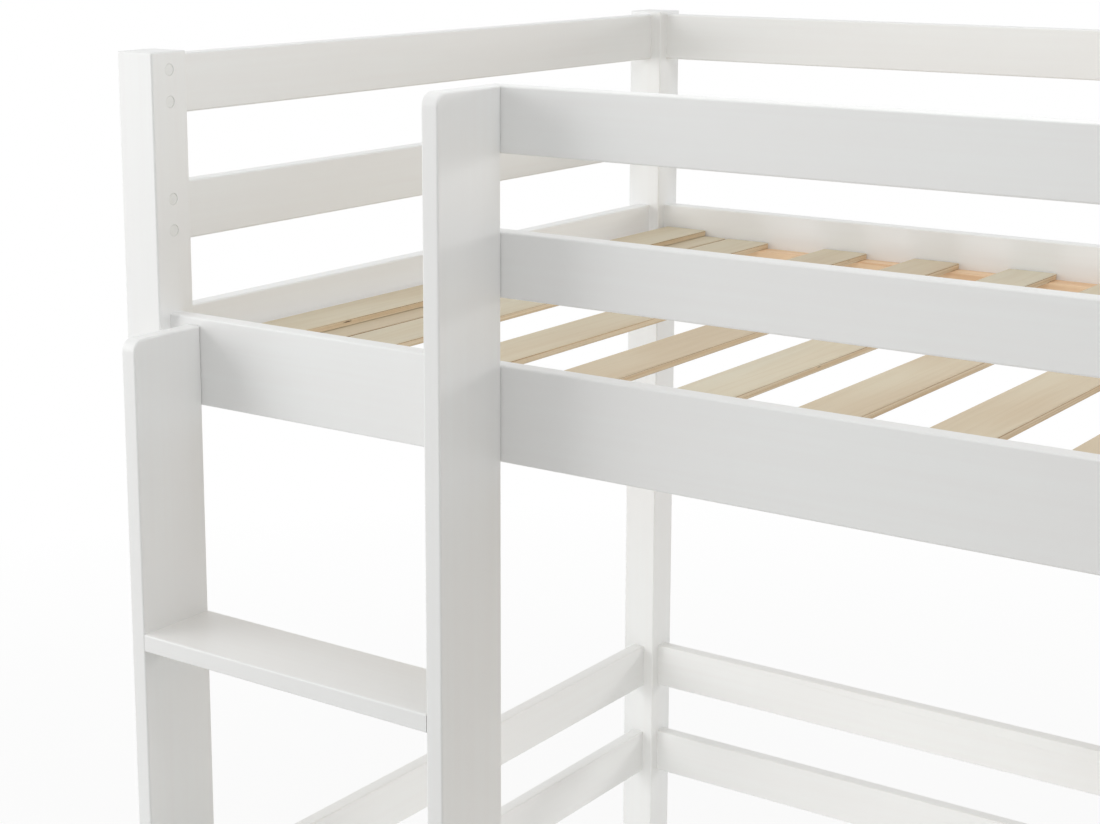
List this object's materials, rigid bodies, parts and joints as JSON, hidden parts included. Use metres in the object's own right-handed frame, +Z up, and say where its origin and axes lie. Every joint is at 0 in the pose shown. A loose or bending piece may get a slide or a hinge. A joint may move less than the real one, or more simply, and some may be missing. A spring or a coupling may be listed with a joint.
{
  "type": "l shaped bunk bed",
  "caption": "Bunk bed with one single bed above and another set crosswise below, guard rails, a ladder with board treads and slatted bases.",
  "frame": {"origin": "centre of the footprint, on the floor", "axes": "+Z up; +X along the upper bed, from the ladder's end to the lower bed's end; +Y from the front to the wall side"},
  "size_m": [2.085, 2.08, 1.6],
  "materials": {
    "white_painted_pine": "satin white lacquer over solid pine",
    "ply_slats": "bare laminated softwood, sanded",
    "pine_battens": "bare planed pine",
    "beech_dowels": "bare fluted beech",
    "zinc_plated_steel": "bright zinc plate",
    "white_caps": "white cover caps"
  },
  "bodies": {
    "root": {"front_left_post": "white_painted_pine", "front_right_post": "white_painted_pine", "back_left_post": "white_painted_pine", "back_right_post": "white_painted_pine", "head_post": "white_painted_pine", "foot_left_post": "white_painted_pine", "foot_right_post": "white_painted_pine", "left_top_rail": "white_painted_pine", "left_middle_rail": "white_painted_pine", "left_bed_rail": "white_painted_pine", "left_low_top_rail": "white_painted_pine", "left_low_middle_rail": "white_painted_pine", "right_top_rail": "white_painted_pine", "right_middle_rail": "white_painted_pine", "right_bed_rail": "white_painted_pine", "right_low_top_rail": "white_painted_pine", "right_low_middle_rail": "white_painted_pine", "back_top_rail": "white_painted_pine", "back_middle_rail": "white_painted_pine", "back_side_rail": "white_painted_pine", "back_low_top_rail": "white_painted_pine", "back_low_middle_rail": "white_painted_pine", "front_side_rail": "white_painted_pine", "guard_top_rail": "white_painted_pine", "guard_middle_rail": "white_painted_pine", "ladder_left_stile": "white_painted_pine", "ladder_right_stile": "white_painted_pine", "ladder_tread_1": "white_painted_pine", "ladder_tread_2": "white_painted_pine", "ladder_tread_3": "white_painted_pine", "ladder_tread_4": "white_painted_pine", "upper_front_batten": "pine_battens", "upper_back_batten": "pine_battens", "upper_slats": "ply_slats", "upper_lapped_slat": "ply_slats", "lower_left_side_rail": "white_painted_pine", "lower_right_side_rail": "white_painted_pine", "lower_head_rail": "white_painted_pine", "foot_top_rail": "white_painted_pine", "foot_middle_rail": "white_painted_pine", "foot_bed_rail": "white_painted_pine", "lower_left_batten": "pine_battens", "lower_right_batten": "pine_battens", "lower_slats": "ply_slats", "frame_bolts": "zinc_plated_steel", "barrel_nuts": "zinc_plated_steel", "insert_nuts": "zinc_plated_steel", "cam_fittings": "zinc_plated_steel", "cam_pins": "zinc_plated_steel", "cam_caps": "white_caps", "tread_dowels": "beech_dowels", "ladder_screws": "zinc_plated_steel", "batten_screws": "zinc_plated_steel"}
  },
  "joints": []
}
